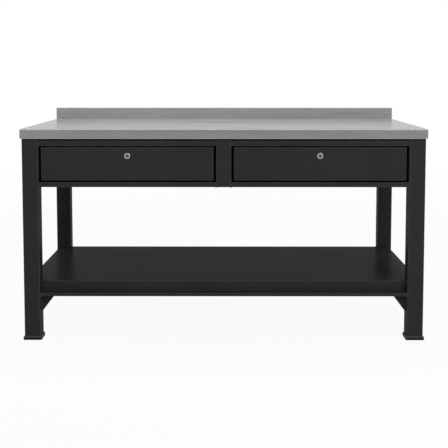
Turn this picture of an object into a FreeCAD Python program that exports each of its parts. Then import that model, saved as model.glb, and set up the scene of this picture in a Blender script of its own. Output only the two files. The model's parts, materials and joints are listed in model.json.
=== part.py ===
import FreeCAD, Part
import math
import os
import re
import Sketcher

# Workbench with two lockable drawers and a lower shelf, in millimetres.
# The origin is on the floor under the middle of the worktop: +X right, +Y to the back, +Z up.

SIZES = {
    # worktop: folded sheet over a board, with a skirt round it and an upstand along the back
    "top_width": 1500,
    "top_depth": 750,
    "top_height": 790,
    "skirt": 35,
    "top_sheet": 1.5,
    "top_round": 2.5,
    "upstand": 50,
    "upstand_depth": 12,
    "side_overhang": 5,
    "end_overhang": 10,
    "board_gap": 0.4,
    # legs and feet
    "leg": 60,
    "leg_wall": 2,
    "leg_round": 4,
    "foot_width": 69,
    "foot_height": 13,
    "foot_round": 4,
    "foot_bevel": 3,
    "foot_plug": 35,
    "fit_gap": 0.1,
    # drawer housing between the legs
    "housing": 180,
    "rail_wall": 1.5,
    "rail_round": 2,
    "post_width": 56,
    "post_depth": 40,
    "top_rail_height": 28,
    "top_rail_depth": 30,
    "top_rail_setback": 4,
    "rebate_height": 12,
    "rebate_depth": 3,
    "bottom_rail_height": 17.5,
    "bottom_rail_depth": 40,
    "panel_sheet": 2,
    "panel_setback": 7,
    "floor_sheet": 1.2,
    "floor_lift": 2,
    "carrier_lift": 35,
    "carrier_height": 100,
    "carrier_flange": 20,
    # lower shelf, its rails and gussets
    "lower_rail_base": 165,
    "lower_rail_height": 13,
    "shelf_lip": 39,
    "shelf_sheet": 1.5,
    "shelf_round": 2,
    "shelf_return": 15,
    "shelf_front_setback": 35,
    "shelf_rear_setback": 25,
    "shelf_side_setback": 7,
    "leg_gap": 0.5,
    "stiffener_width": 40,
    "stiffener_height": 30,
    "gusset_width": 48,
    "gusset_height": 62,
    "gusset_plate": 3,
    "gusset_nose": 4,
    # drawers
    "gap_side": 9.5,
    "gap_above": 5,
    "gap_below": 6,
    "front_setback": 8,
    "front_depth": 18,
    "front_sheet": 1.5,
    "front_round": 2,
    "front_flange": 20,
    "box_depth": 620,
    "box_height": 100,
    "box_lift": 11,
    "box_sheet": 1.2,
    # drawer slides with three members
    "slide_length": 600,
    "slide_height": 45,
    "slide_space": 12.7,
    "slide_reach": 11,
    "slide_sheet": 1.2,
    "slide_track": 4.1,
    "slide_inset": 4,
    "slide_hole_front": 90,
    "slide_hole_rear": 480,
    # cam locks
    "lock_drop": 32,
    "bezel_radius": 11.5,
    "bezel_thick": 2,
    "bezel_bevel": 0.8,
    "barrel_radius": 9.4,
    "barrel_length": 28,
    "plug_radius": 7,
    "plug_gap": 0.05,
    "plug_recess": 0.4,
    "plug_proud": 0.2,
    "tail_side": 6,
    "tail_length": 3.8,
    "keyway_width": 1.8,
    "keyway_height": 9,
    "keyway_depth": 12,
    "cam_length": 47,
    "cam_heel": 8,
    "cam_width": 14,
    "cam_plate": 2.5,
    "cam_round": 6,
    "nut_circle": 13.5,
    "nut_height": 4,
    # fasteners
    "screw_radius": 2,
    "screw_head_radius": 4.5,
    "screw_head_height": 2.6,
    "wood_screw_length": 46,
    "wood_screw_spread": 150,
    "sheet_screw_length": 6,
    "flat_head_radius": 3.5,
    "flat_head_height": 0.9,
    "front_screw_spread": 120,
    "front_screw_inset": 14,
    "front_screw_lift": 14,
    "front_screw_side_lift": 80,
}

# Planes and distances that several pieces share, as formulas of the sheet's names
UNDER_TOP = "(top_height - skirt)"
HOUSING_BASE = "(top_height - skirt - housing)"
LEG_FACE = "(top_depth / 2 - end_overhang)"
LEG_SIDE = "(top_width / 2 - side_overhang)"
FRONT_PLANE = f"(-{LEG_FACE})"
LEG_X = f"({LEG_SIDE} - leg / 2)"
LEG_Y = f"({LEG_FACE} - leg / 2)"
BAY_OUTER = f"({LEG_SIDE} - leg)"
BAY_MID = f"(({BAY_OUTER} + post_width / 2) / 2)"
BAY_WIDTH = f"({BAY_OUTER} - post_width / 2)"
LEG_SPAN = f"(2 * {LEG_FACE} - 2 * leg)"
POST_BACK = f"({FRONT_PLANE} + post_depth)"
SIDE_RAIL_X = f"({LEG_SIDE} - top_rail_setback - top_rail_depth / 2)"
PANEL_FRONT = f"({LEG_FACE} - panel_setback - panel_sheet)"
PANEL_BASE = f"({HOUSING_BASE} + bottom_rail_height)"
PANEL_HEIGHT = "(housing - bottom_rail_height - top_rail_height)"
CARRIER_BASE = f"({HOUSING_BASE} + carrier_lift)"
SHELF_BASE = "(lower_rail_base + lower_rail_height)"
FRONT_FACE = f"({FRONT_PLANE} + front_setback)"
BOX_FRONT = f"({FRONT_FACE} + front_depth)"
FRONT_WIDTH = f"({BAY_WIDTH} - 2 * gap_side)"
FRONT_HEIGHT = "(housing - bottom_rail_height - top_rail_height - gap_below - gap_above)"
FRONT_BASE = f"({HOUSING_BASE} + bottom_rail_height + gap_below)"
BOX_WIDTH = f"({BAY_WIDTH} - 2 * slide_space)"
BOX_BASE = f"({HOUSING_BASE} + bottom_rail_height + box_lift)"
SLIDE_FRONT = f"({BOX_FRONT} + slide_inset)"
SLIDE_Z = f"({BOX_BASE} + box_height / 2)"
LOCK_Z = f"({UNDER_TOP} - top_rail_height - gap_above - lock_drop)"
BARREL_END = f"({FRONT_FACE} + barrel_length)"
TOP_RAIL_Z = f"({UNDER_TOP} - top_rail_height / 2)"
BOTTOM_RAIL_Z = f"({HOUSING_BASE} + bottom_rail_height / 2)"

# Depth, height, wall and corner of the housing's rails
TOP_RAIL = ("top_rail_depth", "top_rail_height", "rail_wall", "rail_round")
BOTTOM_RAIL = ("bottom_rail_depth", "bottom_rail_height", "rail_wall", "rail_round")

SIDES = {"left": -1, "right": 1}
ENDS = {"front": -1, "rear": 1}
SLIDE_HOLES = (f"{SLIDE_FRONT} + slide_hole_front", f"{SLIDE_FRONT} + slide_hole_rear")
TURNS = {
    "X": FreeCAD.Rotation(FreeCAD.Vector(0, 1, 0), 90),
    "Y": FreeCAD.Rotation(FreeCAD.Vector(1, 0, 0), -90),
    "Z": FreeCAD.Rotation(),
}
HALF_TURN_Y = FreeCAD.Rotation(FreeCAD.Vector(0, 1, 0), 180)
HALF_TURN_Z = FreeCAD.Rotation(FreeCAD.Vector(0, 0, 1), 180)
SECTION_PLANES = {"X": "YZ_Plane", "Y": "XZ_Plane", "Z": "XY_Plane"}

doc = FreeCAD.newDocument("workbench")
sheet = doc.addObject("Spreadsheet::Sheet", "Sizes")
for row, (name, size) in enumerate(SIZES.items(), start=1):
    sheet.set(f"A{row}", name)
    sheet.set(f"B{row}", str(size))
    sheet.setAlias(f"B{row}", name)
doc.recompute()

nodes = {}


def bind(thing, prop, formula):
    """Ties one property to a formula of the sheet's names."""

    def named(match):
        word = match.group()
        return f"Sizes.{word}" if word in SIZES else word

    thing.setExpression(prop, re.sub(r"[a-z]\w*", named, formula))


def put(thing, spot, turn=None):
    """Places a thing at a spot given by three formulas, turned or not."""
    thing.Placement = FreeCAD.Placement(FreeCAD.Vector(), turn or FreeCAD.Rotation())
    for axis, formula in zip("xyz", spot):
        bind(thing, f"Placement.Base.{axis}", formula)
    return thing


def keep(thing, solids=1):
    """Marks a finished sub-part and how many solids it holds."""
    nodes[thing.Label] = (thing, solids)
    return thing


def block(label, middle, length, depth, height):
    """A box about the middle in X and Y that stands on the middle's Z."""
    box = doc.addObject("Part::Box", label)
    bind(box, "Length", length)
    bind(box, "Width", depth)
    bind(box, "Height", height)
    x, y, z = middle
    return put(box, (f"{x} - ({length}) / 2", f"{y} - ({depth}) / 2", z))


def rod(label, run, start, radius, length):
    """A round bar that runs from its start along +X, +Y or +Z."""
    bar = doc.addObject("Part::Cylinder", label)
    bind(bar, "Radius", radius)
    bind(bar, "Height", length)
    return put(bar, start, TURNS[run])


def hex_bar(label, run, start, circle, length):
    """A six-sided bar that runs from its start along +X, +Y or +Z."""
    bar = doc.addObject("Part::Prism", label)
    bar.Polygon = 6
    bind(bar, "Circumradius", circle)
    bind(bar, "Height", length)
    return put(bar, start, TURNS[run])


def fuse(label, pieces):
    joined = doc.addObject("Part::MultiFuse", label)
    joined.Shapes = pieces
    return joined


def cut(label, base, tools):
    """The base with all the tools taken out of it."""
    result = doc.addObject("Part::Cut", label)
    result.Base = base
    result.Tool = tools[0] if len(tools) == 1 else fuse(f"{label}_tools", tools)
    return result


def group(label, members):
    """Separate solids that share one node."""
    together = doc.addObject("Part::Compound", label)
    together.Links = members
    return keep(together, len(members))


def along(run, start, shift):
    """A start moved along one axis by a formula."""
    moved = list(start)
    place = "XYZ".index(run)
    moved[place] = f"{moved[place]} + ({shift})"
    return moved


def fastener(label, run, seat, sense, shank, head):
    """A shank and a head that meet at the seat. The shank points along the run, or back where sense is -1."""
    shank_radius, shank_length = shank
    head_radius, head_height = head
    shank_shift = "0" if sense > 0 else f"-({shank_length})"
    head_shift = f"-({head_height})" if sense > 0 else "0"
    stem = rod(f"{label}_shank", run, along(run, seat, shank_shift), shank_radius, shank_length)
    top = rod(f"{label}_head", run, along(run, seat, head_shift), head_radius, head_height)
    return fuse(label, [stem, top])


def hole(label, run, middle, radius, length):
    """A round cutting bar about a point, for the fastener that passes there."""
    return rod(label, run, along(run, middle, f"-({length}) / 2"), radius, length)


def new_body(label):
    return doc.addObject("PartDesign::Body", label)


def draw(sketch, corners):
    """Adds a closed loop of straight lines, each corner tied to two formulas."""
    first = sketch.GeometryCount
    count = len(corners)
    radius = 100.0 / (1 + first)
    turn = 2 * math.pi / count
    start = [FreeCAD.Vector(radius * math.cos(i * turn), radius * math.sin(i * turn)) for i in range(count)]
    for i in range(count):
        sketch.addGeometry(Part.LineSegment(start[i], start[(i + 1) % count]))
    for i in range(count):
        sketch.addConstraint(Sketcher.Constraint("Coincident", first + i, 2, first + (i + 1) % count, 1))
    for i, corner in enumerate(corners):
        for kind, formula, value in zip(("DistanceX", "DistanceY"), corner, start[i]):
            at = sketch.addConstraint(Sketcher.Constraint(kind, -1, 1, first + i, 1, value))
            bind(sketch, f"Constraints[{at}]", formula)


def outline(body, role, corners, lift="0"):
    """A sketch of one closed outline on one of the body's own planes."""
    sketch = body.newObject("Sketcher::SketchObject", f"{body.Name}_sketch")
    plane = next(p for p in body.Origin.OriginFeatures if p.Role == role)
    sketch.AttachmentSupport = [(plane, "")]
    sketch.MapMode = "FlatFace"
    bind(sketch, "AttachmentOffset.Base.z", lift)
    draw(sketch, corners)
    return sketch


def pad(body, sketch, length):
    solid = body.newObject("PartDesign::Pad", f"{body.Name}_pad")
    solid.Profile = sketch
    bind(solid, "Length", length)
    doc.recompute()
    return solid


def dress(kind, body, feature, chosen, prop, size):
    """A fillet or chamfer on the feature's edges that the test chooses."""
    box = feature.Shape.BoundBox
    names = [f"Edge{i}" for i, edge in enumerate(feature.Shape.Edges, start=1) if chosen(edge, box)]
    finish = body.newObject(f"PartDesign::{kind}", f"{body.Name}_{kind.lower()}")
    finish.Base = (feature, names)
    bind(finish, prop, size)
    doc.recompute()
    return finish


def fillet(body, feature, chosen, radius):
    return dress("Fillet", body, feature, chosen, "Radius", radius)


def chamfer(body, feature, chosen, size):
    return dress("Chamfer", body, feature, chosen, "Size", size)


def spread(edge, axis):
    """How far an edge reaches along one axis."""
    return getattr(edge.BoundBox, f"{axis}Length")


def at_low(edge, box, axis):
    return abs(getattr(edge.BoundBox, f"{axis}Max") - getattr(box, f"{axis}Min")) < 0.01


def at_high(edge, box, axis):
    return abs(getattr(edge.BoundBox, f"{axis}Min") - getattr(box, f"{axis}Max")) < 0.01


def on_side(edge, box, axis):
    return at_low(edge, box, axis) or at_high(edge, box, axis)


def outer_corner(run):
    """Chooses the edges that run along one axis on the outside of the other two."""
    others = [axis for axis in "XYZ" if axis != run]

    def chosen(edge, box):
        return spread(edge, run) > 1 and all(on_side(edge, box, axis) for axis in others)

    return chosen


def rectangle(width, height):
    """The corners of a rectangle about the sketch's origin."""
    half_width, half_height = f"({width}) / 2", f"({height}) / 2"
    return [
        (f"-{half_width}", f"-{half_height}"),
        (half_width, f"-{half_height}"),
        (half_width, half_height),
        (f"-{half_width}", half_height),
    ]


def tube(label, run, width, height, wall, corner, length, start):
    """A rectangular tube with rounded outer corners, from the middle of its start along +X, -Y or +Z."""
    body = new_body(label)
    section = outline(body, SECTION_PLANES[run], rectangle(width, height))
    draw(section, rectangle(f"{width} - 2 * {wall}", f"{height} - 2 * {wall}"))
    solid = pad(body, section, length)
    fillet(body, solid, outer_corner(run), corner)
    return put(body, start)


def pan(label, middle, size, sheet_name, opens, holes=()):
    """A folded pan: a box hollowed by its sheet's thickness, open along one axis in one sense."""
    open_axis, sense = opens
    inner_middle = []
    inner_size = []
    for axis, at, span in zip("XYZ", middle, size):
        if axis == open_axis:
            inner_middle.append(f"{at} + ({sense}) * {sheet_name}")
            inner_size.append(span)
        else:
            inner_middle.append(f"{at} + {sheet_name}" if axis == "Z" else at)
            inner_size.append(f"{span} - 2 * {sheet_name}")
    shell = block(f"{label}_shell", middle, *size)
    hollow = block(f"{label}_hollow", inner_middle, *inner_size)
    return keep(cut(label, shell, [hollow, *holes]))


def make_leg(end, side):
    start = (f"{SIDES[side]} * {LEG_X}", f"{ENDS[end]} * {LEG_Y}", "foot_height")
    length = f"{UNDER_TOP} - foot_height"
    keep(tube(f"leg_{end}_{side}", "Z", "leg", "leg", "leg_wall", "leg_round", length, start))


def make_foot(end, side):
    """A plastic cap: bevelled flange under the leg, plug inside it."""
    body = new_body(f"foot_{end}_{side}")
    flange = pad(body, outline(body, "XY_Plane", rectangle("foot_width", "foot_width")), "foot_height")
    rounded = fillet(body, flange, outer_corner("Z"), "foot_round")
    chamfer(body, rounded, lambda edge, box: at_high(edge, box, "Z"), "foot_bevel")
    bore = "leg - 2 * leg_wall - 2 * fit_gap"
    pad(body, outline(body, "XY_Plane", rectangle(bore, bore), "foot_height"), "foot_plug")
    put(body, (f"{SIDES[side]} * {LEG_X}", f"{ENDS[end]} * {LEG_Y}", "0"))
    keep(body)


def rebated_section(inset):
    """A top rail's section, drawn in by an inset, with a step along its upper front edge."""
    front = f"-(top_rail_depth / 2 - ({inset}))"
    back = f"(top_rail_depth / 2 - ({inset}))"
    low = f"-(top_rail_height / 2 - ({inset}))"
    high = f"(top_rail_height / 2 - ({inset}))"
    step_y = f"({front} + rebate_depth)"
    step_z = f"({high} - rebate_height)"
    return [(front, low), (back, low), (back, high), (step_y, high), (step_y, step_z), (front, step_z)]


def make_front_rails(side):
    """The rebated rail above a drawer, set back a little, and the flush rail below it."""
    start_x = f"-{BAY_OUTER}" if side == "left" else "post_width / 2"
    body = new_body(f"top_rail_{side}")
    section = outline(body, "YZ_Plane", rebated_section("0"))
    draw(section, rebated_section("rail_wall"))
    solid = pad(body, section, BAY_WIDTH)

    def outer_edge(edge, box):
        return spread(edge, "X") > 1 and (on_side(edge, box, "Y") or on_side(edge, box, "Z"))

    fillet(body, solid, outer_edge, "rail_round")
    keep(put(body, (start_x, f"{FRONT_PLANE} + top_rail_setback + top_rail_depth / 2", TOP_RAIL_Z)))
    spot = (start_x, f"{FRONT_PLANE} + bottom_rail_depth / 2", BOTTOM_RAIL_Z)
    keep(tube(f"bottom_rail_{side}", "X", *BOTTOM_RAIL, BAY_WIDTH, spot))


def make_rear_rails():
    length = f"2 * {BAY_OUTER}"
    top_spot = (f"-{BAY_OUTER}", f"{LEG_FACE} - top_rail_setback - top_rail_depth / 2", TOP_RAIL_Z)
    keep(tube("top_rail_rear", "X", *TOP_RAIL, length, top_spot))
    bottom_spot = (f"-{BAY_OUTER}", f"{LEG_FACE} - bottom_rail_depth / 2", BOTTOM_RAIL_Z)
    keep(tube("bottom_rail_rear", "X", *BOTTOM_RAIL, length, bottom_spot))


def make_side_rails(side):
    """The rails between a front and a rear leg. The upper one has holes for the worktop's screws."""
    out = SIDES[side]
    rear_leg = f"{LEG_SPAN} / 2"
    label = f"side_top_rail_{side}"
    blank = tube(f"{label}_tube", "Y", *TOP_RAIL, LEG_SPAN, (f"{out} * {SIDE_RAIL_X}", rear_leg, TOP_RAIL_Z))
    holes = [
        hole(f"{label}_hole_{i}", "Z", spot, "screw_radius + fit_gap", "4 * top_rail_height")
        for i, spot in enumerate(side_screw_spots(out))
    ]
    keep(cut(label, blank, holes))
    bottom_x = f"{out} * ({LEG_SIDE} - bottom_rail_depth / 2)"
    keep(tube(f"side_bottom_rail_{side}", "Y", *BOTTOM_RAIL, LEG_SPAN, (bottom_x, rear_leg, BOTTOM_RAIL_Z)))


def side_screw_spots(out):
    """Where a side's top rail is screwed to the worktop's board."""
    return [(f"{out} * {SIDE_RAIL_X}", f"{step} * wood_screw_spread", UNDER_TOP) for step in (-1, 0, 1)]


def make_centre_post():
    spot = ("0", f"{FRONT_PLANE} + post_depth / 2", HOUSING_BASE)
    keep(tube("centre_post", "Z", "post_width", "post_depth", "rail_wall", "rail_round", "housing", spot))


def make_panels():
    """Flat sheets that close the housing's back and ends between their rails."""
    middle = ("0", f"{PANEL_FRONT} + panel_sheet / 2", PANEL_BASE)
    keep(block("rear_panel", middle, f"2 * {BAY_OUTER}", "panel_sheet", PANEL_HEIGHT))
    for side, out in SIDES.items():
        middle = (f"{out} * ({LEG_SIDE} - panel_setback - panel_sheet / 2)", "0", PANEL_BASE)
        keep(block(f"side_panel_{side}", middle, "panel_sheet", LEG_SPAN, PANEL_HEIGHT))


def make_housing_floor():
    """A sheet between the bottom rails, notched round the legs."""
    body = new_body("housing_floor")
    wide = f"({LEG_SIDE} - bottom_rail_depth)"
    deep = f"({LEG_FACE} - bottom_rail_depth)"
    plan = notched_plan(wide, f"({BAY_OUTER} - leg_gap)", f"({LEG_SPAN} / 2 - leg_gap)", f"-{deep}", deep)
    pad(body, outline(body, "XY_Plane", plan, f"{HOUSING_BASE} + floor_lift"), "floor_sheet")
    keep(body)


def carrier_holes(label, face_x):
    """Holes for the screws of an outer slide in the sheet that carries it."""
    return [
        hole(f"{label}_{i}", "X", (face_x, spot, SLIDE_Z), "screw_radius + fit_gap", "4 * panel_sheet")
        for i, spot in enumerate(SLIDE_HOLES)
    ]


def make_runner_support(side):
    """A channel between the legs, flush with their inner faces, that carries an outer slide."""
    out = SIDES[side]
    label = f"runner_support_{side}"
    middle = (f"{out} * ({BAY_OUTER} + carrier_flange / 2)", "0", CARRIER_BASE)
    holes = carrier_holes(label, f"{out} * {BAY_OUTER}")
    pan(label, middle, ("carrier_flange", LEG_SPAN, "carrier_height"), "panel_sheet", ("X", out), holes)


def make_centre_partition():
    """An inverted channel from the centre post to the rear panel that carries the two inner slides."""
    middle = ("0", f"({PANEL_FRONT} + {POST_BACK}) / 2", CARRIER_BASE)
    size = ("post_width", f"({PANEL_FRONT} - {POST_BACK})", "carrier_height")
    holes = carrier_holes("partition_left", "-post_width / 2")
    holes += carrier_holes("partition_right", "post_width / 2")
    pan("centre_partition", middle, size, "panel_sheet", ("Z", -1), holes)


def make_lower_rail(end):
    spot = (f"-{BAY_OUTER}", f"{ENDS[end]} * {LEG_Y}", "lower_rail_base + lower_rail_height / 2")
    size = ("leg", "lower_rail_height")
    keep(tube(f"lower_rail_{end}", "X", *size, "rail_wall", "rail_round", f"2 * {BAY_OUTER}", spot))


def make_gusset(end, side):
    """A three-cornered plate under the lower rail, at the middle of the leg's depth."""
    body = new_body(f"gusset_{end}_{side}_plate")
    corners = [
        ("0", "0"),
        ("gusset_width", "0"),
        ("gusset_width", "-gusset_nose"),
        ("gusset_nose", "-gusset_height"),
        ("0", "-gusset_height"),
    ]
    pad(body, outline(body, "XZ_Plane", corners, "-gusset_plate / 2"), "gusset_plate")
    spot = (f"{SIDES[side]} * {BAY_OUTER}", f"{ENDS[end]} * {LEG_Y}", "lower_rail_base")
    return put(body, spot, HALF_TURN_Z if side == "right" else None)


def notched_plan(wide, narrow, notch, front, rear):
    """The corners of a sheet as wide as the frame between the legs and narrower where it passes them."""
    return [
        (f"-{narrow}", front),
        (narrow, front),
        (narrow, f"-{notch}"),
        (wide, f"-{notch}"),
        (wide, notch),
        (narrow, notch),
        (narrow, rear),
        (f"-{narrow}", rear),
        (f"-{narrow}", notch),
        (f"-{wide}", notch),
        (f"-{wide}", f"-{notch}"),
        (f"-{narrow}", f"-{notch}"),
    ]


def shelf_plan(inset):
    """The shelf's outline, drawn in by an inset."""
    return notched_plan(
        f"({LEG_SIDE} - shelf_side_setback - ({inset}))",
        f"({BAY_OUTER} - leg_gap - ({inset}))",
        f"({LEG_SPAN} / 2 - leg_gap - ({inset}))",
        f"({FRONT_PLANE} + shelf_front_setback + ({inset}))",
        f"({LEG_FACE} - shelf_rear_setback - ({inset}))",
    )


def make_shelf_tray():
    """A folded tray with its lips turned down and returned inwards on the lower rails."""
    body = new_body("shelf_blank")
    blank = pad(body, outline(body, "XY_Plane", shelf_plan("0"), SHELF_BASE), "shelf_lip")
    fillet(body, blank, lambda edge, box: at_high(edge, box, "Z"), "shelf_round")
    inside = new_body("shelf_inside")
    plan = outline(inside, "XY_Plane", shelf_plan("shelf_sheet"), f"{SHELF_BASE} + shelf_sheet")
    pad(inside, plan, "shelf_lip - 2 * shelf_sheet")
    mouth = new_body("shelf_mouth")
    inset = "shelf_sheet + shelf_return"
    plan = outline(mouth, "XY_Plane", shelf_plan(inset), f"{SHELF_BASE} - shelf_sheet")
    pad(mouth, plan, "3 * shelf_sheet")
    keep(cut("shelf_tray", body, [inside, mouth]))


def make_shelf_stiffener():
    """A channel under the middle of the shelf, open downwards."""
    base = f"({SHELF_BASE} + shelf_lip - shelf_sheet - stiffener_height)"
    length = f"2 * ({BAY_OUTER} - shelf_return - 2 * shelf_sheet)"
    size = (length, "stiffener_width", "stiffener_height")
    pan("shelf_stiffener", ("0", "0", base), size, "shelf_sheet", ("Z", -1))


def make_worktop_sheet():
    """The folded worktop skin: deck, skirt all round and a hollow upstand along the back."""
    body = new_body("worktop_blank")
    front, back = "-top_depth / 2", "top_depth / 2"
    corners = [
        (front, UNDER_TOP),
        (front, "top_height"),
        (f"{back} - upstand_depth", "top_height"),
        (f"{back} - upstand_depth", "top_height + upstand"),
        (back, "top_height + upstand"),
        (back, UNDER_TOP),
    ]
    blank = pad(body, outline(body, "YZ_Plane", corners, "-top_width / 2"), "top_width")

    def folded_edge(edge, box):
        long_fold = spread(edge, "X") > 1 and not at_low(edge, box, "Z")
        inner_fold = long_fold and not on_side(edge, box, "Y") and not at_high(edge, box, "Z")
        front_corner = spread(edge, "Z") > 1 and at_low(edge, box, "Y")
        return (long_fold and not inner_fold) or front_corner

    fillet(body, blank, folded_edge, "top_round")
    inner_width = "top_width - 2 * top_sheet"
    inner_depth = "top_depth - 2 * top_sheet"
    well = block("worktop_well", ("0", "0", UNDER_TOP), inner_width, inner_depth, "skirt - top_sheet")
    fold = block(
        "upstand_fold",
        ("0", "top_depth / 2 - upstand_depth / 2", UNDER_TOP),
        inner_width,
        "upstand_depth - 2 * top_sheet",
        "skirt + upstand - top_sheet",
    )
    keep(cut("worktop_sheet", body, [well, fold]))


def worktop_screw_spots():
    return side_screw_spots(-1) + side_screw_spots(1)


def make_worktop_core():
    """The board inside the worktop sheet, with a pilot hole for each screw."""
    width, depth = (f"{span} - 2 * (top_sheet + board_gap)" for span in ("top_width", "top_depth"))
    board = block("board", ("0", "0", UNDER_TOP), width, depth, "skirt - top_sheet")
    pilots = [
        rod(f"pilot_{i}", "Z", spot, "screw_radius + fit_gap", "wood_screw_length - top_rail_height")
        for i, spot in enumerate(worktop_screw_spots())
    ]
    keep(cut("worktop_core", board, pilots))


def make_worktop_screws():
    """Screws up through the side rails into the board."""
    shank = ("screw_radius", "wood_screw_length")
    head = ("screw_head_radius", "screw_head_height")
    return [
        fastener(f"worktop_screw_{i}", "Z", along("Z", spot, "-top_rail_height"), 1, shank, head)
        for i, spot in enumerate(worktop_screw_spots())
    ]


def channel(web, reach, half, inward):
    """A slide member's section: a web, with the sheet's thickness on its inward side, and two flanges."""
    inner_web = f"{web} {inward} slide_sheet"
    inner_half = f"({half} - slide_sheet)"
    return [
        (web, f"-{half}"),
        (reach, f"-{half}"),
        (reach, f"-{inner_half}"),
        (inner_web, f"-{inner_half}"),
        (inner_web, inner_half),
        (reach, inner_half),
        (reach, half),
        (web, half),
    ]


OUTER_HALF = "(slide_height / 2)"
MIDDLE_HALF = "(slide_height / 2 - slide_sheet - slide_track)"
INNER_HALF = "(slide_height / 2 - 2 * slide_sheet - 2 * slide_track)"
SLIDE_SECTIONS = {
    "outer": channel("0", "slide_reach", OUTER_HALF, "+"),
    "middle": channel("2 * slide_sheet", "slide_reach", MIDDLE_HALF, "+"),
    "inner": channel("slide_space", "4 * slide_sheet", INNER_HALF, "-"),
}


def slide_face(side, hand):
    """The X of the face that carries a slide, and which way the slide opens from it."""
    facing = 1 if hand == "left" else -1
    return f"({SIDES[side]} * {BAY_MID} - {facing} * {BAY_WIDTH} / 2)", facing


def make_slide_member(side, hand, member):
    """One member of one slide. The outer and inner ones have screw holes in their webs."""
    face, facing = slide_face(side, hand)
    label = f"{side}_drawer_{hand}_{member}_slide"
    body = new_body(f"{label}_channel")
    pad(body, outline(body, "XZ_Plane", SLIDE_SECTIONS[member]), "slide_length")
    put(body, (face, f"{SLIDE_FRONT} + slide_length", SLIDE_Z), HALF_TURN_Y if facing < 0 else None)
    if member == "middle":
        return body
    web = face if member == "outer" else slide_box_face(side, hand)
    holes = [
        hole(f"{label}_hole_{i}", "X", (web, y, SLIDE_Z), "screw_radius + fit_gap", "4 * slide_sheet")
        for i, y in enumerate(SLIDE_HOLES)
    ]
    return cut(label, body, holes)


def make_slides(side):
    """A drawer's two slides. Their like members share a node, because they run together."""
    for member in SLIDE_SECTIONS:
        group(f"{side}_drawer_{member}_slides", [make_slide_member(side, hand, member) for hand in SIDES])


def make_slide_screws():
    """Flat-headed screws that hold the outer slides to the supports and the partition."""
    screws = []
    for side in SIDES:
        for hand in SIDES:
            face, facing = slide_face(side, hand)
            for i, y in enumerate(SLIDE_HOLES):
                seat = (f"{face} + {facing} * slide_sheet", y, SLIDE_Z)
                shank = ("screw_radius", "sheet_screw_length")
                head = ("flat_head_radius", "flat_head_height")
                screws.append(fastener(f"slide_screw_{side}_{hand}_{i}", "X", seat, -facing, shank, head))
    return screws


def front_screw_spots(side):
    """Where the drawer front's rear flange is screwed to the box: four below, one at each side."""
    middle = f"{SIDES[side]} * {BAY_MID}"
    low = f"{FRONT_BASE} + front_screw_lift"
    high = f"{FRONT_BASE} + front_screw_side_lift"
    spots = [(f"{middle} + {step} * front_screw_spread", BOX_FRONT, low) for step in (-2, -1, 1, 2)]
    edge = f"({FRONT_WIDTH} / 2 - front_screw_inset)"
    return spots + [(f"{middle} + {out} * {edge}", BOX_FRONT, high) for out in (-1, 1)]


def front_screw_holes(label, side):
    return [
        hole(f"{label}_{i}", "Y", spot, "screw_radius + fit_gap", "4 * front_sheet")
        for i, spot in enumerate(front_screw_spots(side))
    ]


def lock_spot(side, y):
    return (f"{SIDES[side]} * {BAY_MID}", y, LOCK_Z)


def lock_hole(label, side, wall):
    """The hole for a lock's barrel in the front's sheet or the box's wall."""
    spot = lock_spot(side, wall)
    return hole(f"{label}_lock_hole", "Y", spot, "barrel_radius + fit_gap", "4 * front_sheet")


def make_drawer_front(side):
    """A folded pan with a returned flange at its back and a hole for the lock."""
    label = f"{side}_drawer_front"
    middle = f"{SIDES[side]} * {BAY_MID}"
    body = new_body(f"{label}_blank")
    blank = pad(body, outline(body, "XZ_Plane", rectangle(FRONT_WIDTH, FRONT_HEIGHT)), "front_depth")

    def front_edge(edge, box):
        return at_low(edge, box, "Y") or outer_corner("Y")(edge, box)

    fillet(body, blank, front_edge, "front_round")
    put(body, (middle, BOX_FRONT, f"{FRONT_BASE} + {FRONT_HEIGHT} / 2"))
    hollow = block(
        f"{label}_hollow",
        (middle, f"({FRONT_FACE} + {BOX_FRONT}) / 2", f"{FRONT_BASE} + front_sheet"),
        f"{FRONT_WIDTH} - 2 * front_sheet",
        "front_depth - 2 * front_sheet",
        f"{FRONT_HEIGHT} - 2 * front_sheet",
    )
    window = block(
        f"{label}_window",
        (middle, BOX_FRONT, f"{FRONT_BASE} + front_flange"),
        f"{FRONT_WIDTH} - 2 * front_flange",
        "4 * front_sheet",
        f"{FRONT_HEIGHT} - 2 * front_flange",
    )
    holes = [lock_hole(label, side, FRONT_FACE), *front_screw_holes(label, side)]
    keep(cut(label, body, [hollow, window, *holes]))


def make_drawer_box(side):
    """An open box of sheet: a bottom, with two sides, an inner front and a back that stand on it."""
    x = f"{SIDES[side]} * {BAY_MID}"
    y = f"{BOX_FRONT} + box_depth / 2"
    keep(block(f"{side}_drawer_bottom", (x, y, BOX_BASE), BOX_WIDTH, "box_depth", "box_sheet"))
    base = f"{BOX_BASE} + box_sheet"
    height = "box_height - box_sheet"
    walls = []
    for hand, out in SIDES.items():
        label = f"{side}_drawer_{hand}_wall"
        spot = (f"{x} + {out} * ({BOX_WIDTH} - box_sheet) / 2", y, base)
        blank = block(f"{label}_blank", spot, "box_sheet", "box_depth", height)
        face = slide_box_face(side, hand)
        spots = [(face, screw_y, SLIDE_Z) for screw_y in SLIDE_HOLES]
        holes = [
            hole(f"{label}_hole_{i}", "X", spot, "screw_radius + fit_gap", "4 * box_sheet")
            for i, spot in enumerate(spots)
        ]
        walls.append(cut(label, blank, holes))
    inner_width = f"{BOX_WIDTH} - 2 * box_sheet"
    for end, back in ENDS.items():
        label = f"{side}_drawer_{end}_wall"
        spot = (x, f"{y} + {back} * (box_depth - box_sheet) / 2", base)
        wall = block(f"{label}_blank", spot, inner_width, "box_sheet", height)
        if end == "front":
            wall = cut(label, wall, [lock_hole(label, side, BOX_FRONT), *front_screw_holes(label, side)])
        walls.append(wall)
    group(f"{side}_drawer_walls", walls)


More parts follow.
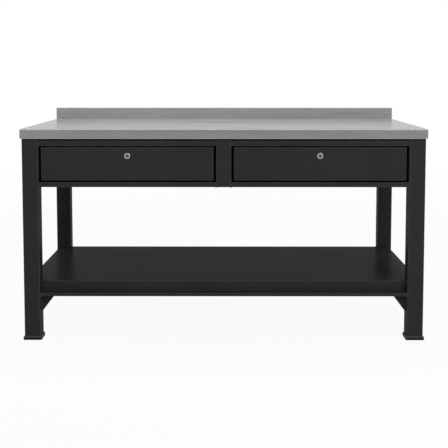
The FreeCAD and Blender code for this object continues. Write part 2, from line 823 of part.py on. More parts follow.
def slide_box_face(side, hand):
    """The X where an inner slide's web meets the drawer box."""
    face, facing = slide_face(side, hand)
    return f"{face} + {facing} * slide_space"


def make_drawer_screws(side):
    """Screws from the box into the front's flange, and from the inner slides into the box."""
    shank = ("screw_radius", "sheet_screw_length")
    screws = []
    for i, spot in enumerate(front_screw_spots(side)):
        seat = along("Y", spot, "box_sheet")
        head = ("screw_head_radius", "screw_head_height")
        screws.append(fastener(f"{side}_front_screw_{i}", "Y", seat, -1, shank, head))
    for hand in SIDES:
        facing = slide_face(side, hand)[1]
        for i, y in enumerate(SLIDE_HOLES):
            seat = (f"{slide_box_face(side, hand)} - {facing} * slide_sheet", y, SLIDE_Z)
            head = ("flat_head_radius", "flat_head_height")
            screws.append(fastener(f"{side}_box_screw_{hand}_{i}", "X", seat, facing, shank, head))
    group(f"{side}_drawer_screws", screws)


def make_lock_body(side):
    """The fixed half of a cam lock: bevelled bezel and barrel with a bore, turned about Y."""
    body = new_body(f"{side}_lock_body")
    bore = "(plug_radius + plug_gap)"
    profile = outline(body, "XY_Plane", [
        (bore, "-bezel_thick"),
        ("bezel_radius - bezel_bevel", "-bezel_thick"),
        ("bezel_radius", "bezel_bevel - bezel_thick"),
        ("bezel_radius", "0"),
        ("barrel_radius", "0"),
        ("barrel_radius", "barrel_length"),
        (bore, "barrel_length"),
    ])
    turned = body.newObject("PartDesign::Revolution", f"{side}_lock_turned")
    turned.Profile = profile
    turned.ReferenceAxis = (profile, ["V_Axis"])
    turned.Angle = 360
    keep(put(body, lock_spot(side, FRONT_FACE)))


def make_lock_nut(side):
    """The hex nut that clamps the lock to the drawer, behind the box's front wall."""
    label = f"{side}_lock_nut"
    spot = lock_spot(side, f"{BOX_FRONT} + box_sheet")
    blank = hex_bar(f"{label}_blank", "Y", spot, "nut_circle", "nut_height")
    bore = hole(f"{label}_bore", "Y", spot, "barrel_radius + plug_gap", "3 * nut_height")
    keep(cut(label, blank, [bore]))


def make_lock_plug(side):
    """The turning half of a cam lock: keyed plug with a square tail."""
    label = f"{side}_lock_plug"
    front = f"{FRONT_FACE} - bezel_thick + plug_recess"
    length = "bezel_thick - plug_recess + barrel_length + plug_proud"
    core = rod(f"{label}_core", "Y", lock_spot(side, front), "plug_radius", length)
    tail_spot = lock_spot(side, f"{BARREL_END} + plug_proud + tail_length / 2")
    x, y, z = tail_spot
    tail = block(f"{label}_tail", (x, y, f"{z} - tail_side / 2"), "tail_side", "tail_length", "tail_side")
    slot = block(
        f"{label}_keyway",
        (x, front, f"{z} - keyway_height / 2"),
        "keyway_width",
        "2 * keyway_depth",
        "keyway_height",
    )
    tail_end = lock_spot(side, f"{BARREL_END} + plug_proud + tail_length")
    thread = hole(f"{label}_thread", "Y", tail_end, "screw_radius + plug_gap", "4 * tail_length")
    keep(cut(label, fuse(f"{label}_blank", [core, tail]), [slot, thread]))


def make_lock_cam(side):
    """The flat cam on the plug's tail. It lies level when the drawer is unlocked."""
    label = f"{side}_lock_cam"
    body = new_body(f"{label}_blank")
    half = "cam_width / 2"
    corners = [
        ("-cam_heel", f"-{half}"),
        ("cam_length", f"-{half}"),
        ("cam_length", half),
        ("-cam_heel", half),
    ]
    plate = pad(body, outline(body, "XZ_Plane", corners), "cam_plate")
    fillet(body, plate, outer_corner("Y"), "cam_round")
    put(body, lock_spot(side, f"{BARREL_END} + plug_proud + fit_gap + cam_plate"))
    x, y, z = lock_spot(side, f"{BARREL_END} + plug_proud + tail_length / 2")
    wide = "tail_side + fit_gap"
    square = block(f"{label}_square", (x, y, f"{z} - ({wide}) / 2"), wide, "3 * tail_length", wide)
    keep(cut(label, body, [square]))


def make_lock_screw(side):
    """The screw that holds the cam on the plug's tail."""
    seat = lock_spot(side, f"{BARREL_END} + plug_proud + tail_length")
    shank = ("screw_radius", "1.5 * tail_length")
    head = ("screw_head_radius", "screw_head_height")
    keep(fastener(f"{side}_lock_screw", "Y", seat, -1, shank, head))


for end in ENDS:
    for side in SIDES:
        make_leg(end, side)
        make_foot(end, side)
    make_lower_rail(end)
group("gussets", [make_gusset(end, side) for end in ENDS for side in SIDES])
make_centre_post()
make_rear_rails()
make_panels()
make_housing_floor()
make_centre_partition()
make_shelf_tray()
make_shelf_stiffener()
make_worktop_sheet()
make_worktop_core()
group("frame_screws", make_worktop_screws() + make_slide_screws())
for side in SIDES:
    make_front_rails(side)
    make_side_rails(side)
    make_runner_support(side)
    make_slides(side)
    make_drawer_front(side)
    make_drawer_box(side)
    make_drawer_screws(side)
    make_lock_body(side)
    make_lock_nut(side)
    make_lock_plug(side)
    make_lock_cam(side)
    make_lock_screw(side)
doc.recompute()

# Nothing is written unless every object is sound
faults = [thing.Label for thing in doc.Objects if {"Invalid", "Error"} & set(thing.State)]
for label, (thing, solids) in nodes.items():
    shape = thing.Shape
    if shape.isNull() or not shape.isValid() or len(shape.Solids) != solids:
        faults.append(label)
if faults:
    raise SystemExit(f"unsound: {sorted(set(faults))}")

os.makedirs("parts", exist_ok=True)
for label, (thing, solids) in nodes.items():
    thing.Shape.exportStep(f"parts/{label}.step")
print(f"{len(nodes)} sub-parts written")
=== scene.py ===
import json
import math

import bmesh
import bpy
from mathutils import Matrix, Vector


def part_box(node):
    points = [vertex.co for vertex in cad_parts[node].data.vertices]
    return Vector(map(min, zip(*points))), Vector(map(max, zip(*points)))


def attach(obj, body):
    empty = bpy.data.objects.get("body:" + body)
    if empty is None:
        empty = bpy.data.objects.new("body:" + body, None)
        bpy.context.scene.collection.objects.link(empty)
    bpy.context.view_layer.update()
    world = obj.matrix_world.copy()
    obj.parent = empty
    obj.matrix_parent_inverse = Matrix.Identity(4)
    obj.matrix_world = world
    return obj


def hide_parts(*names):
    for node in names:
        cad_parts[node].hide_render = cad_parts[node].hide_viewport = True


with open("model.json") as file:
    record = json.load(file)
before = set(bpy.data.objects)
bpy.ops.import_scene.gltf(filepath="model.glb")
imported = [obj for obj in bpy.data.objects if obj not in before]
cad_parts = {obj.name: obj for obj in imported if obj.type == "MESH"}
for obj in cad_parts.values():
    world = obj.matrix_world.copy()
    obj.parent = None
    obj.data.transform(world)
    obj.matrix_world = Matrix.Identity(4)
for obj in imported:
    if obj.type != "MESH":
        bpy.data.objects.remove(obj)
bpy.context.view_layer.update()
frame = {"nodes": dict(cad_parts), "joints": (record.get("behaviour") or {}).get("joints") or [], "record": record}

# Looks of a workbench with two lockable drawers, in metres. The front faces -Y and the floor is at Z 0.

MM = 0.001
SIDES = ("left", "right")
WHITE = (1.0, 1.0, 1.0, 1.0)

# The camera, fitted to the picture's straight edges: angles in radians, lens and sensor in millimetres
EYE = Vector((0.0102, -3.6848, 0.9989))
AIM_DOWN = 0.0804
AIM_LEFT = 0.0027
LENS = 72.74
SENSOR = 36.0
LENS_SHIFT = -0.1763

# The white surround's strength as light, and the floor with its glow as a background near and far
FILL_LEVEL = 0.22
FLOOR_HALF = 30.0
FLOOR_DROP = 0.5 * MM
FLOOR_GLOW = 0.94
GLOW_NEAR = 2.0
GLOW_FAR = 6.0

# Drawer slides: the sheet of a member, and its ball races from the face that carries the slide
SLIDE_SHEET = 1.2 * MM
OUTER_RACE = 6.7 * MM
INNER_RACE = 7.9 * MM
BALL_RADIUS = 2.0 * MM
BALL_PITCH = 12.5 * MM
CAGE_WIDTH = 5.0 * MM
CAGE_SHEET = 0.9 * MM
CAGE_MARGIN = 5.0 * MM

# Weld beads: each ripple's size varies between two shares of the bead's radius
BEAD_RADIUS = 2.6 * MM
BEAD_PITCH = 2.2 * MM
BEAD_SEED = 7
BEAD_LEAST = (0.85, 0.85, 0.60)
BEAD_MOST = (1.10, 1.10, 0.80)

# Drawer walls and the rolled hem along their upper edge
WALL_SHEET = 1.2 * MM
HEM_RADIUS = 1.4 * MM
HEM_CORNER = 4.0 * MM
HEM_SIDES = 12
HEM_CORNER_STEPS = 6

# Screws: shares of a head's height and radius, and of a shank's radius
HEAD_DOME = 0.62
HEAD_EDGE = 0.9
RECESS_WIDTH = 0.26
RECESS_LENGTH = 1.15
RECESS_DEPTH = 0.5
SHANK_RIDGE = 0.25

# Screws: how finely their heads and shanks are divided
HEAD_SIDES = 32
HEAD_RINGS = 24
SHANK_SIDES = 16
SHANK_STEPS = 16

# Cam locks: the turned bezel, and the thread on its barrel
BARREL_RADIUS = 9.4 * MM
BORE_GAP = 0.05 * MM
BEZEL_LIP = 0.9 * MM
BEZEL_DISH = 0.35 * MM
THREAD_PITCH = 1.5 * MM
THREAD_DEPTH = 0.45 * MM

# The part of the bezel's height that its lip falls, and a nut's turned face over half its width
BEZEL_FALL = 0.8
NUT_FACE = 1.01

# Cam locks: how finely the lip, the bezel and the nut are divided
LIP_STEPS = 6
LOCK_STEPS = 48
NUT_STEPS = 72

# Roundness of small balls and ripples, as levels of a divided icosahedron
BALL_LEVEL = 2

# Points of a mesh that are nearer than this are one point
SAME_POINT = 0.001 * MM

# Cosines of a normal's turn between which the paler edges and rounded corners fade out: a painted highlight, and
# on the black coats also wear
EDGE_BAND = (0.80, 0.995)
CORNER_BAND = (0.80, 0.99)


def grey(value, warmth=0.0):
    """A neutral colour, a little red where the warmth is above 0."""
    return (value * (1 + warmth), value, value * (1 - warmth), 1.0)


class Finish:
    """One material's node tree around a single surface shader, built from short calls."""

    def __init__(self, name):
        self.material = bpy.data.materials.new(name)
        self.material.use_nodes = True
        self.tree = self.material.node_tree
        self.shader = self.tree.nodes["Principled BSDF"]
        place = self.add("ShaderNodeTexCoord")
        self.coordinates = place.outputs["Object"]
        self.facing = place.outputs["Normal"]

    def add(self, kind, **settings):
        """Adds one node with its settings."""
        node = self.tree.nodes.new(kind)
        for key, value in settings.items():
            setattr(node, key, value)
        return node

    def put(self, value, socket):
        """Links an output to a socket, or sets the socket to a constant."""
        if isinstance(value, bpy.types.NodeSocket):
            self.tree.links.new(value, socket)
        else:
            socket.default_value = value

    def surface(self, **values):
        """Sets the shader's own sockets, named with underscores for spaces."""
        for name, value in values.items():
            self.put(value, self.shader.inputs[name.replace("_", " ")])

    def stretched(self, scale):
        """Object coordinates scaled apart along the three axes."""
        node = self.add("ShaderNodeMapping")
        self.put(self.coordinates, node.inputs["Vector"])
        self.put(scale, node.inputs["Scale"])
        return node.outputs["Vector"]

    def noise(self, scale, detail=2.0, vector=None):
        """Soft clouds, from 0 to 1."""
        node = self.add("ShaderNodeTexNoise")
        self.put(vector or self.coordinates, node.inputs["Vector"])
        self.put(scale, node.inputs["Scale"])
        self.put(detail, node.inputs["Detail"])
        return node.outputs["Fac"]

    def cells(self, scale, vector):
        """Flat cells, each with a tone of its own."""
        node = self.add("ShaderNodeTexVoronoi")
        self.put(vector, node.inputs["Vector"])
        self.put(scale, node.inputs["Scale"])
        return node.outputs["Color"]

    def spread(self, value, low, high, start=0.3, end=0.7):
        """Maps a texture's middle band to a range."""
        node = self.add("ShaderNodeMapRange")
        names = ("Value", "From Min", "From Max", "To Min", "To Max")
        for name, item in zip(names, (value, start, end, low, high)):
            self.put(item, node.inputs[name])
        return node.outputs["Result"]

    def maths(self, operation, *values):
        node = self.add("ShaderNodeMath", operation=operation)
        for socket, value in zip(node.inputs, values):
            self.put(value, socket)
        return node.outputs["Value"]

    def blend(self, share, first, second):
        """A colour between two others."""
        node = self.add("ShaderNodeMix", data_type="RGBA")
        self.put(share, node.inputs["Factor"])
        colours = [socket for socket in node.inputs if socket.type == "RGBA"]
        self.put(first, colours[0])
        self.put(second, colours[1])
        return next(socket for socket in node.outputs if socket.type == "RGBA")

    def soft_edge(self, radius):
        """The surface's normal with its sharp edges rounded over."""
        node = self.add("ShaderNodeBevel", samples=4)
        self.put(radius, node.inputs["Radius"])
        return node.outputs["Normal"]

    def edge_share(self, radius):
        """0 on flat faces, rising to 1 on the edges within a radius."""
        flat = self.add("ShaderNodeNewGeometry").outputs["True Normal"]
        node = self.add("ShaderNodeVectorMath", operation="DOT_PRODUCT")
        self.put(self.soft_edge(radius), node.inputs[0])
        self.put(flat, node.inputs[1])
        return self.spread(node.outputs["Value"], 1.0, 0.0, *EDGE_BAND)

    def corner_share(self):
        """0 on faces square to the object's axes, rising to 1 on the rounded corners between them."""
        parts = self.add("ShaderNodeSeparateXYZ")
        self.put(self.facing, parts.inputs["Vector"])
        sizes = [self.maths("ABSOLUTE", part) for part in parts.outputs]
        largest = self.maths("MAXIMUM", self.maths("MAXIMUM", sizes[0], sizes[1]), sizes[2])
        return self.spread(largest, 1.0, 0.0, *CORNER_BAND)

    def falling(self, axis, start, end):
        """1 before a place along one of the object's axes, falling to 0 behind a second place."""
        parts = self.add("ShaderNodeSeparateXYZ")
        self.put(self.coordinates, parts.inputs["Vector"])
        return self.spread(parts.outputs[axis], 1.0, 0.0, start, end)

    def bump(self, height, strength, distance, normal=None):
        """A normal that follows a texture's height, over another normal if there is one."""
        node = self.add("ShaderNodeBump")
        self.put(height, node.inputs["Height"])
        self.put(strength, node.inputs["Strength"])
        self.put(distance, node.inputs["Distance"])
        if normal:
            self.put(normal, node.inputs["Normal"])
        return node.outputs["Normal"]


def powder_coat(name, dark, light, gloss, level, wear_and_highlight_grey):
    """Baked black powder: a fine grain, uneven gloss, and edges and rounded corners painted paler, partly as wear
    and partly as a painted highlight.
    """
    finish = Finish(name)
    clouds = finish.noise(5.0, detail=4.0)
    grain = finish.noise(900.0, detail=2.0)
    patchiness = finish.spread(finish.noise(40.0, detail=3.0), 0.45, 1.0)
    # Painted highlight and wear: sharp edges and rounded corners are painted paler, partly for coat worn thin and
    # partly for the light their rounding catches.
    rounded = finish.maths("MULTIPLY", finish.corner_share(), 0.5)
    edges = finish.maths("MAXIMUM", finish.edge_share(3.0 * MM), rounded)
    edge_wear_and_highlight = finish.maths("MULTIPLY", edges, patchiness)
    coat = finish.blend(finish.spread(clouds, 0.0, 1.0), grey(dark), grey(light))
    finish.surface(
        Base_Color=finish.blend(edge_wear_and_highlight, coat, grey(wear_and_highlight_grey)),
        Roughness=finish.spread(clouds, *gloss),
        Specular_IOR_Level=level,
        Normal=finish.bump(grain, 0.10, 0.15 * MM, finish.soft_edge(1.0 * MM)),
    )
    return finish.material


def worktop_steel():
    """Satin sheet brushed and streaked along its length, wiped unevenly, with a painted highlight along the folds
    at the front.
    """
    finish = Finish("worktop_steel")
    # Painted highlight: the edges at the front are painted pale grey where their folds would catch the light,
    # fading out towards the back.
    edge_wear_and_highlight = finish.maths("MULTIPLY", finish.edge_share(4.0 * MM), finish.falling("Y", -0.1, 0.1))
    brushed = finish.noise(1.0, detail=5.0, vector=finish.stretched((2.5, 520.0, 520.0)))
    wiped = finish.noise(3.0, detail=3.0, vector=finish.stretched((0.6, 2.2, 2.2)))
    streaked = finish.noise(1.0, detail=3.0, vector=finish.stretched((7.0, 120.0, 120.0)))
    marks = finish.maths("MULTIPLY_ADD", streaked, 0.35, finish.maths("MULTIPLY", wiped, 0.4))
    tone = finish.maths("MULTIPLY_ADD", brushed, 0.25, marks)
    sheet = finish.blend(finish.spread(tone, 0.0, 1.0, 0.35, 0.65), grey(0.272), grey(0.372))
    finish.surface(
        Base_Color=finish.blend(edge_wear_and_highlight, sheet, grey(0.75)),
        Metallic=0.25,
        Roughness=finish.spread(tone, 0.2, 0.24, 0.35, 0.65),
        Specular_IOR_Level=0.02,
        Specular_Tint=grey(0.4),
        Normal=finish.bump(brushed, 0.02, 0.03 * MM, finish.soft_edge(1.0 * MM)),
    )
    return finish.material


def chipboard():
    """Raw pressed chips: pale and dark flakes with a fibrous grain."""
    finish = Finish("chipboard")
    flakes = finish.cells(170.0, finish.stretched((1.0, 1.6, 2.6)))
    fibres = finish.noise(420.0, detail=4.0)
    chips = finish.blend(finish.spread(flakes, 0.0, 1.0, 0.1, 0.9), grey(0.20, 0.28), grey(0.42, 0.24))
    finish.surface(
        Base_Color=finish.blend(finish.spread(fibres, 0.0, 0.5), chips, grey(0.30, 0.30)),
        Roughness=finish.spread(fibres, 0.75, 0.9),
        Normal=finish.bump(flakes, 0.2, 0.3 * MM),
    )
    return finish.material


def foot_plastic():
    """Moulded black plastic with a spark-eroded grain and scuffs, and a painted highlight on its bevels."""
    finish = Finish("foot_plastic")
    grain = finish.noise(1400.0)
    scuffs = finish.noise(90.0, detail=4.0)
    plain = finish.blend(finish.spread(scuffs, 0.0, 1.0, 0.45, 0.75), grey(0.010), grey(0.016))
    finish.surface(
        # Painted highlight: the bevels, where the normal turns off the axes, are painted pale grey.
        Base_Color=finish.blend(finish.corner_share(), plain, grey(0.105)),
        Roughness=finish.spread(scuffs, 0.45, 0.6),
        Specular_IOR_Level=0.1,
        Normal=finish.bump(grain, 0.15, 0.1 * MM, finish.soft_edge(0.8 * MM)),
    )
    return finish.material


def plated(name, dark, light, gloss, fineness, warmth=0.0):
    """Plated metal: a mottled plate with fine marks in its gloss."""
    finish = Finish(name)
    mottle = finish.noise(120.0, detail=3.0)
    marks = finish.noise(fineness, detail=3.0)
    finish.surface(
        Base_Color=finish.blend(finish.spread(mottle, 0.0, 1.0), grey(dark, warmth), grey(light, -warmth)),
        Metallic=1.0,
        Roughness=finish.spread(marks, *gloss),
        Normal=finish.bump(marks, 0.05, 0.03 * MM, finish.soft_edge(0.3 * MM)),
    )
    return finish.material


def slide_coat():
    """Thin black dipped coat on rolled steel, with paler streaks along the slide. The black is set very dark,
    partly as painted shade for the slide and cage ends that show in the gaps beside the drawers.
    """
    finish = Finish("slide_coat")
    streaks = finish.noise(1.0, detail=3.0, vector=finish.stretched((900.0, 4.0, 900.0)))
    finish.surface(
        Base_Color=finish.blend(finish.spread(streaks, 0.0, 1.0, 0.5, 0.8), grey(0.006), grey(0.020)),
        Roughness=finish.spread(streaks, 0.30, 0.42),
        Specular_IOR_Level=0.08,
        Normal=finish.bump(streaks, 0.05, 0.03 * MM, finish.soft_edge(0.3 * MM)),
    )
    return finish.material


def make_finishes():
    """One material for each slot of the record."""
    return {
        "black_coat": powder_coat(
            "black_coat", dark=0.037, light=0.043, gloss=(0.25, 0.30), level=0.0013, wear_and_highlight_grey=0.16
        ),
        "drawer_coat": powder_coat(
            "drawer_coat", dark=0.028, light=0.034, gloss=(0.45, 0.55), level=0.02, wear_and_highlight_grey=0.085
        ),
        "worktop_steel": worktop_steel(),
        "board": chipboard(),
        "foot_plastic": foot_plastic(),
        "lock_chrome": plated("lock_chrome", dark=0.30, light=0.38, gloss=(0.14, 0.24), fineness=900.0),
        "lock_plug": plated("lock_plug", dark=0.09, light=0.14, gloss=(0.25, 0.38), fineness=700.0),
        "slide_coat": slide_coat(),
        "fastener_zinc": plated(
            "fastener_zinc", dark=0.38, light=0.50, gloss=(0.32, 0.36), fineness=500.0, warmth=0.03
        ),
    }


def dress_nodes(finishes):
    """Gives every CAD node the material of its slot."""
    for part in frame["record"]["subparts"]:
        mesh = frame["nodes"][part["node"]].data
        mesh.materials.clear()
        mesh.materials.append(finishes[part["material_slot"]])


class Recipe:
    """A geometry node tree that makes a piece on a layout mesh, with named inputs for its sizes."""

    def __init__(self, name, sizes):
        self.tree = bpy.data.node_groups.new(name, "GeometryNodeTree")
        self.sizes = sizes
        self.add_socket("Layout", "INPUT", "Geometry")
        for label, value in sizes.items():
            self.add_socket(label, "INPUT", "Int" if isinstance(value, int) else "Float")
        self.add_socket("Piece", "OUTPUT", "Geometry")
        self.start = self.tree.nodes.new("NodeGroupInput").outputs

    def add_socket(self, label, way, kind):
        self.tree.interface.new_socket(label, in_out=way, socket_type=f"NodeSocket{kind}")

    def put(self, value, socket):
        """Links an output to a socket, or sets the socket to a constant."""
        if isinstance(value, bpy.types.NodeSocket):
            self.tree.links.new(value, socket)
        else:
            socket.default_value = value

    def step(self, kind, settings=None, **values):
        """Adds one node with its settings, fills its sockets and returns its first output."""
        node = self.tree.nodes.new(f"GeometryNode{kind}")
        for key, value in (settings or {}).items():
            setattr(node, key, value)
        for label, value in values.items():
            socket = next(s for s in node.inputs if s.enabled and s.name == label.replace("_", " "))
            for item in value if isinstance(value, list) else [value]:
                self.put(item, socket)
        return next(s for s in node.outputs if s.enabled)

    def maths(self, operation, first, second):
        node = self.tree.nodes.new("ShaderNodeMath")
        node.operation = operation
        self.put(first, node.inputs[0])
        self.put(second, node.inputs[1])
        return node.outputs["Value"]

    def vector(self, x, y, z):
        node = self.tree.nodes.new("ShaderNodeCombineXYZ")
        for value, socket in zip((x, y, z), node.inputs):
            self.put(value, socket)
        return node.outputs["Vector"]

    def stored(self, name):
        """A vector that the layout keeps on each of its points."""
        return self.step("InputNamedAttribute", {"data_type": "FLOAT_VECTOR"}, Name=name)

    def end(self, geometry, material):
        """Makes the geometry one plain mesh with its material, as the tree's result."""
        solid = self.step("RealizeInstances", Geometry=geometry)
        dressed = self.step("SetMaterial", Geometry=solid, Material=material)
        self.put(dressed, self.tree.nodes.new("NodeGroupOutput").inputs["Piece"])

    def make(self, name, layout, body, slot):
        """Runs the tree on a layout and leaves a plain mesh that rides on a body."""
        piece = bpy.data.objects.new(name, layout)
        bpy.context.scene.collection.objects.link(piece)
        build = piece.modifiers.new("build", "NODES")
        build.node_group = self.tree
        for item in self.tree.interface.items_tree:
            if item.name in self.sizes:
                build[item.identifier] = self.sizes[item.name]
        made = bpy.data.meshes.new_from_object(piece.evaluated_get(bpy.context.evaluated_depsgraph_get()))
        piece.modifiers.remove(build)
        piece.data = made
        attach(piece, body)
        return piece


def layout_mesh(name, points, edges=(), **vectors):
    """Bare points and lines for a recipe, with named vectors kept on the points."""
    mesh = bpy.data.meshes.new(name)
    mesh.from_pydata(points, edges, [])
    for label, values in vectors.items():
        layer = mesh.attributes.new(label, "FLOAT_VECTOR", "POINT")
        layer.data.foreach_set("vector", [number for value in values for number in value])
    return mesh


def line_layout(name, lines):
    """A layout of separate straight lines."""
    points = [point for line in lines for point in line]
    return layout_mesh(name, points, [(2 * i, 2 * i + 1) for i in range(len(lines))])


def separate_solids(node):
    """The points of each separate solid of a CAD node."""
    shell = bmesh.new()
    shell.from_mesh(frame["nodes"][node].data)
    bmesh.ops.remove_doubles(shell, verts=shell.verts, dist=SAME_POINT)
    waiting = set(shell.verts)
    solids = []
    for first in list(shell.verts):
        if first not in waiting:
            continue
        waiting.remove(first)
        found = [first]
        for vert in found:
            near = {edge.other_vert(vert) for edge in vert.link_edges} & waiting
            waiting -= near
            found.extend(sorted(near, key=lambda other: other.index))
        solids.append([vert.co.copy() for vert in found])
    shell.free()
    return solids


def corners(points):
    """The lowest and highest corner of some points."""
    return Vector(map(min, zip(*points))), Vector(map(max, zip(*points)))


def ball_recipe(finishes):
    """A row of balls from each point of the layout along +Y."""
    recipe = Recipe("ball_rows", {"Ball Radius": BALL_RADIUS, "Ball Pitch": BALL_PITCH, "Ball Count": 1})
    start = recipe.start
    ball = recipe.step("MeshIcoSphere", Radius=start["Ball Radius"], Subdivisions=BALL_LEVEL)
    smooth = recipe.step("SetShadeSmooth", Geometry=ball)
    step = recipe.vector(0.0, start["Ball Pitch"], 0.0)
    spots = recipe.step("MeshLine", Count=start["Ball Count"], Offset=step)
    row = recipe.step("InstanceOnPoints", Points=spots, Instance=smooth)
    rows = recipe.step("InstanceOnPoints", Points=start["Layout"], Instance=row)
    recipe.end(rows, finishes["fastener_zinc"])
    return recipe


def cage_recipe(finishes):
    """A strip that keeps a row of balls apart, from each point of the layout along +Y."""
    sizes = {
        "Ball Pitch": BALL_PITCH,
        "Ball Count": 1,
        "Cage Width": CAGE_WIDTH,
        "Cage Thickness": CAGE_SHEET,
    }
    recipe = Recipe("ball_cages", sizes)
    start = recipe.start
    length = recipe.maths("MULTIPLY", start["Ball Pitch"], start["Ball Count"])
    size = recipe.vector(start["Cage Width"], length, start["Cage Thickness"])
    strip = recipe.step("MeshCube", Size=size)
    middle = recipe.maths("MULTIPLY", recipe.maths("SUBTRACT", length, start["Ball Pitch"]), 0.5)
    placed = recipe.step("Transform", Geometry=strip, Translation=recipe.vector(0.0, middle, 0.0))
    strips = recipe.step("InstanceOnPoints", Points=start["Layout"], Instance=placed)
    # The cages take the slides' very dark coat, partly as painted shade for their ends in the gaps beside the
    # drawers.
    recipe.end(strips, finishes["slide_coat"])
    return recipe


def ball_starts(side, run):
    """The first ball of each row, along the races at both walls of a drawer."""
    low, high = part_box(f"{side}_drawer_outer_slides")
    half = {}
    for member in ("outer", "middle", "inner"):
        member_low, member_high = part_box(f"{side}_drawer_{member}_slides")
        half[member] = (member_high.z - member_low.z) / 2
    outer_z = (half["outer"] - SLIDE_SHEET + half["middle"]) / 2
    inner_z = (half["middle"] - SLIDE_SHEET + half["inner"]) / 2
    middle_z = (low.z + high.z) / 2
    front = low.y + CAGE_MARGIN + BALL_PITCH / 2
    starts = []
    for face, inward in ((low.x, 1), (high.x, -1)):
        for up in (-1, 1):
            starts.append((face + inward * OUTER_RACE, front + run, middle_z + up * outer_z))
            starts.append((face + inward * INNER_RACE, front, middle_z + up * inner_z))
    return starts


def make_ball_rows(finishes):
    """The balls between the slide members, in their cages. They ride with the middle members."""
    kinds = (
        ("ball_rows", "fastener_zinc", ball_recipe(finishes)),
        ("ball_cages", "slide_coat", cage_recipe(finishes)),
    )
    travel = {joint["name"]: joint for joint in frame["joints"]}
    for side in SIDES:
        run = travel[f"{side}_slides_slide"]["range_m"][1]
        low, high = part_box(f"{side}_drawer_outer_slides")
        room = high.y - low.y - run - 2 * CAGE_MARGIN
        layout = layout_mesh(f"{side}_ball_starts", ball_starts(side, run))
        for name, slot, recipe in kinds:
            recipe.sizes["Ball Count"] = int(room / BALL_PITCH)
            recipe.make(f"{side}_{name}", layout, f"{side}_slides", slot)


def weld_recipe(finishes):
    """Overlapping ripples of weld along the layout's lines, each a little different."""
    sizes = {"Bead Radius": BEAD_RADIUS, "Ripple Pitch": BEAD_PITCH, "Seed": BEAD_SEED}
    recipe = Recipe("weld_beads", sizes)
    start = recipe.start
    path = recipe.step("MeshToCurve", Mesh=start["Layout"])
    spots = recipe.step("CurveToPoints", {"mode": "LENGTH"}, Curve=path, Length=start["Ripple Pitch"])
    ripple = recipe.step("MeshIcoSphere", Radius=start["Bead Radius"], Subdivisions=BALL_LEVEL)
    smooth = recipe.step("SetShadeSmooth", Geometry=ripple)
    chance = recipe.tree.nodes.new("FunctionNodeRandomValue")
    chance.data_type = "FLOAT_VECTOR"
    recipe.put(BEAD_LEAST, chance.inputs["Min"])
    recipe.put(BEAD_MOST, chance.inputs["Max"])
    recipe.put(start["Seed"], chance.inputs["Seed"])
    beads = recipe.step(
        "InstanceOnPoints",
        Points=spots,
        Instance=smooth,
        Rotation=spots.node.outputs["Rotation"],
        Scale=chance.outputs["Value"],
    )
    recipe.end(beads, finishes["black_coat"])
    return recipe


def gusset_welds():
    """Both faces of each gusset, along the leg and along the rail above it."""
    lines = []
    for points in separate_solids("gussets"):
        low, high = corners(points)
        leg_x, tip_x = (low.x, high.x) if low.x < 0 else (high.x, low.x)
        for y in (low.y, high.y):
            lines.append(((leg_x, y, low.z), (leg_x, y, high.z)))
            lines.append(((leg_x, y, high.z), (tip_x, y, high.z)))
    return lines


def rail_welds():
    """Across the underside of each rail where it meets a leg or the post."""
    long_rails = [f"lower_rail_{end}" for end in ("front", "rear")]
    long_rails += [f"bottom_rail_{place}" for place in (*SIDES, "rear")]
    lines = []
    for rail in long_rails:
        low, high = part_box(rail)
        for x in (low.x, high.x):
            lines.append(((x, low.y + BEAD_RADIUS, low.z), (x, high.y - BEAD_RADIUS, low.z)))
    for side in SIDES:
        low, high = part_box(f"side_bottom_rail_{side}")
        for y in (low.y, high.y):
            lines.append(((low.x + BEAD_RADIUS, y, low.z), (high.x - BEAD_RADIUS, y, low.z)))
    return lines


def make_welds(finishes):
    """The weld beads that show on the frame."""
    layout = line_layout("weld_lines", gusset_welds() + rail_welds())
    weld_recipe(finishes).make("frame_welds", layout, "frame", "black_coat")


def hem_recipe(finishes):
    """A rolled hem along the layout's loop, with rounded corners."""
    recipe = Recipe("drawer_hem", {"Hem Radius": HEM_RADIUS, "Corner Radius": HEM_CORNER})
    start = recipe.start
    path = recipe.step("MeshToCurve", Mesh=start["Layout"])
    bent = recipe.step(
        "FilletCurve",
        {"mode": "POLY"},
        Curve=path,
        Count=HEM_CORNER_STEPS,
        Radius=start["Corner Radius"],
    )
    section = recipe.step("CurvePrimitiveCircle", Resolution=HEM_SIDES, Radius=start["Hem Radius"])
    hem = recipe.step("CurveToMesh", Curve=bent, Profile_Curve=section)
    recipe.end(recipe.step("SetShadeSmooth", Geometry=hem), finishes["drawer_coat"])
    return recipe


def make_drawer_hems(finishes):
    """The rolled upper edge of each drawer's walls."""
    recipe = hem_recipe(finishes)
    for side in SIDES:
        low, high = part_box(f"{side}_drawer_walls")
        inset = WALL_SHEET / 2
        level = high.z - inset
        points = [
            (low.x + inset, low.y + inset, level),
            (high.x - inset, low.y + inset, level),
            (high.x - inset, high.y - inset, level),
            (low.x + inset, high.y - inset, level),
        ]
        layout = layout_mesh(f"{side}_hem_line", points, [(0, 1), (1, 2), (2, 3), (3, 0)])
        recipe.make(f"{side}_drawer_hem", layout, f"{side}_drawer", "drawer_coat")


